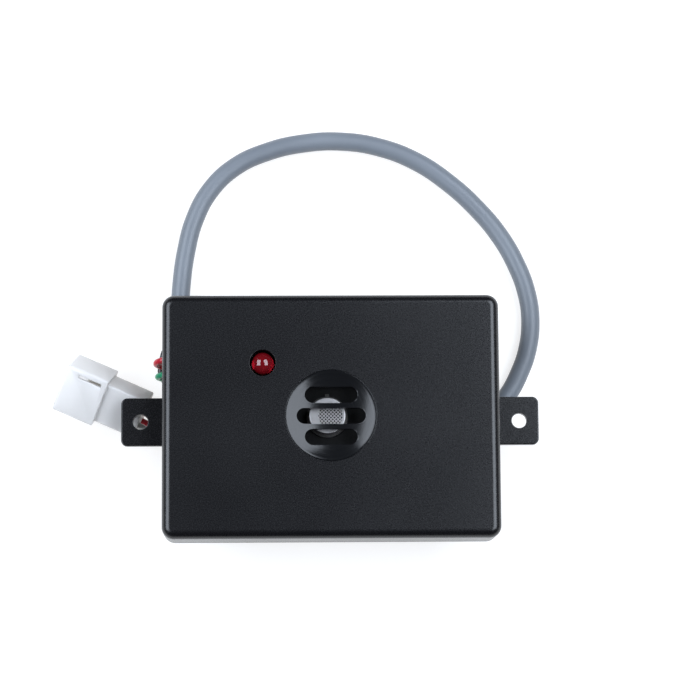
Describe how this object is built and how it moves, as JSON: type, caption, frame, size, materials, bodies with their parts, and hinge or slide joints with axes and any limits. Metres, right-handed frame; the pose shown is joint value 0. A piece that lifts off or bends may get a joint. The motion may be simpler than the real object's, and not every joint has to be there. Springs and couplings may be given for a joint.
{
  "type": "gas sensor head",
  "caption": "Wall-mounted gas sensor head: black box with a dished slotted guard, red lamp and side ears, and a grey pigtail lead ending in a white connector.",
  "frame": {"origin": "centre of the rear face that stands on the mounting surface, the bottom centre of the box around the object without its lead and connector", "axes": "+Z out of the slotted face, +X towards the side where the lead comes out, +Y towards the edge nearest the lamp"},
  "size_m": [0.1125, 0.0969, 0.0278],
  "materials": {
    "shell_black": "fine spark-eroded texture, satin",
    "guard_black": "turned rings, satin",
    "housing_black": "fine texture",
    "gasket_rubber": "matte",
    "screw_steel": "zinc plated",
    "board_green": "solder resist",
    "foam_black": "open-cell foam",
    "nickel": "nickel plated",
    "can_steel": "drawn, satin",
    "mesh_steel": "woven wire",
    "bead_ceramic": "ceramic",
    "lamp_red": "clear red epoxy",
    "tinned": "tinned",
    "black_moulding": "moulded",
    "capacitor_sleeve": "shrink sleeve",
    "disc_orange": "dipped",
    "resistor_tan": "lacquered",
    "diode_glass": "glass body",
    "trimmer_blue": "moulded",
    "trimmer_white": "moulded",
    "nylon_cream": "nylon",
    "inner_wire": "insulation",
    "grommet_rubber": "matte",
    "tie_nylon": "nylon",
    "jacket_grey": "PVC jacket, satin",
    "wire_red": "PVC insulation",
    "wire_black": "PVC insulation",
    "wire_green": "PVC insulation",
    "wire_white": "PVC insulation",
    "connector_nylon": "natural nylon, slightly translucent",
    "pin_tin": "tin plated"
  },
  "bodies": {
    "housing": {"front_shell": "shell_black", "sensor_guard": "guard_black", "rear_housing": "housing_black", "housing_gasket": "gasket_rubber", "cover_screws": "screw_steel", "circuit_board": "board_green", "board_screws": "screw_steel", "sensor_pad": "foam_black", "sensor_base": "nickel", "sensor_can": "can_steel", "sensor_mesh": "mesh_steel", "sensor_pins": "nickel", "sensing_element": "bead_ceramic", "lamp_lens": "lamp_red", "lamp_leadframe": "tinned", "lamp_spacer": "black_moulding", "comparator_chip": "black_moulding", "chip_legs": "tinned", "voltage_regulator": "black_moulding", "electrolytic_capacitor": "capacitor_sleeve", "ceramic_capacitors": "disc_orange", "resistors": "resistor_tan", "diode": "diode_glass", "component_leads": "tinned", "trimmer_body": "trimmer_blue", "board_header": "nylon_cream", "header_pins": "tinned", "header_plug": "nylon_cream", "inner_wires": "inner_wire", "cable_grommet": "grommet_rubber", "cable_tie": "tie_nylon", "cable_jacket": "jacket_grey", "wire_red": "wire_red", "wire_black": "wire_black", "wire_green": "wire_green", "wire_white": "wire_white", "connector_housing": "connector_nylon", "connector_pins": "pin_tin"},
    "trimmer": {"trimmer_rotor": "trimmer_white"}
  },
  "joints": [
    {"name": "trimmer_turn", "type": "hinge", "parent": "housing", "child": "trimmer", "pos_m": [0.015, 0.008, 0.0202], "axis": [0, 0, 1], "range_deg": [-135, 135]}
  ]
}
